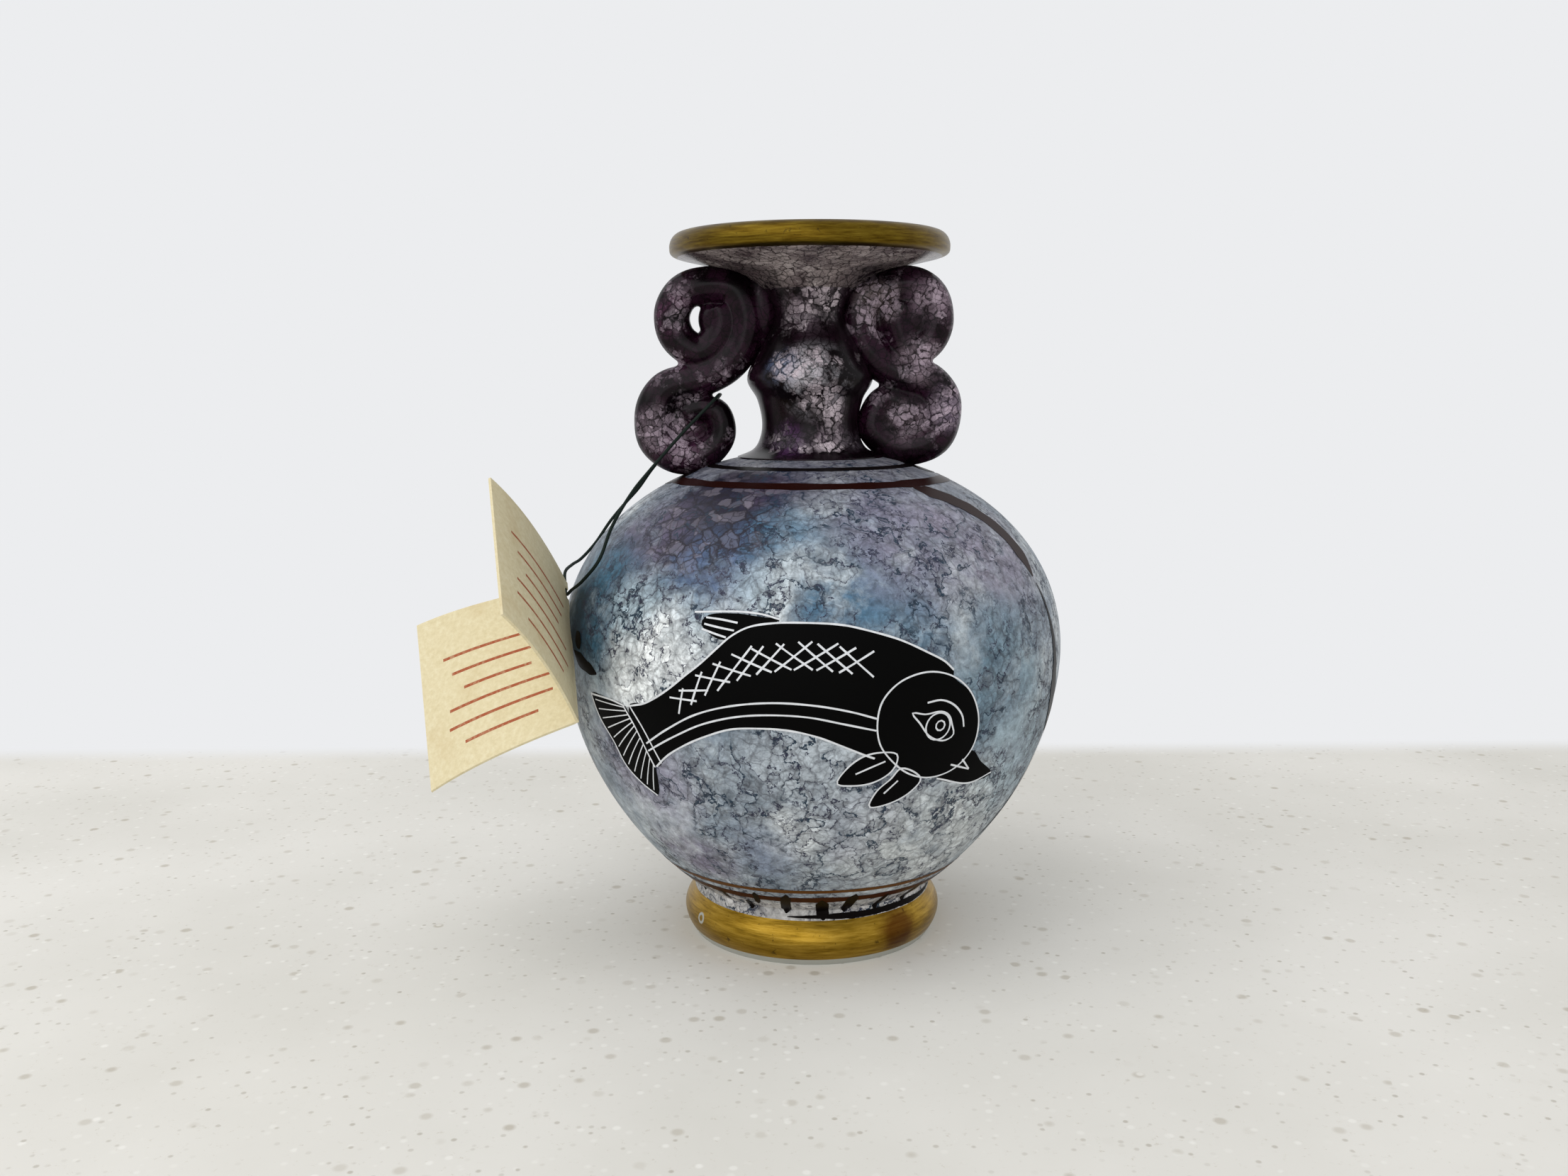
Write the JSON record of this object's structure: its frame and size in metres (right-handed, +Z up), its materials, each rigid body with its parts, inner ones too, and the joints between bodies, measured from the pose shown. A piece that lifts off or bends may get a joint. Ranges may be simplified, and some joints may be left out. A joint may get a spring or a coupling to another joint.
{
  "type": "vase",
  "caption": "Small round-bellied terracotta vase with a flared mouth, a bulbed neck, scroll handles and a folded card tag on a wire loop.",
  "frame": {"origin": "on the vase's axis, at the surface that its foot rests on", "axes": "+Z up along the vase's axis, -Y towards the painted front, +X to the right seen from the front"},
  "size_m": [0.1193, 0.0966, 0.1299],
  "materials": {
    "belly_glaze": "glossy marbled blue-grey and white crackle glaze on terracotta",
    "handle_glaze": "glossy purple-black glaze with pale cells",
    "gilding": "satin antique gold paint over the glaze",
    "tag_card": "matt cream card",
    "tag_wire": "dark green coated wire"
  },
  "bodies": {
    "vase": {"foot": "gilding", "belly": "belly_glaze", "neck": "handle_glaze", "mouth": "belly_glaze", "lip": "gilding", "left_handle": "handle_glaze", "right_handle": "handle_glaze"},
    "hung_tag": {"tag_wire": "tag_wire", "tag_back_leaf": "tag_card"},
    "tag_flap": {"tag_front_leaf": "tag_card"}
  },
  "joints": [
    {"name": "tag_swing", "type": "hinge", "parent": "vase", "child": "hung_tag", "pos_m": [-0.0167, 0, 0.101], "axis": [0, 1, 0], "range_deg": [0, 60]},
    {"name": "tag_fold", "type": "hinge", "parent": "hung_tag", "child": "tag_flap", "pos_m": [-0.0452, -0.0064, 0.0669], "axis": [0.1588, -0.7861, -0.5973], "range_deg": [0, 74]}
  ]
}
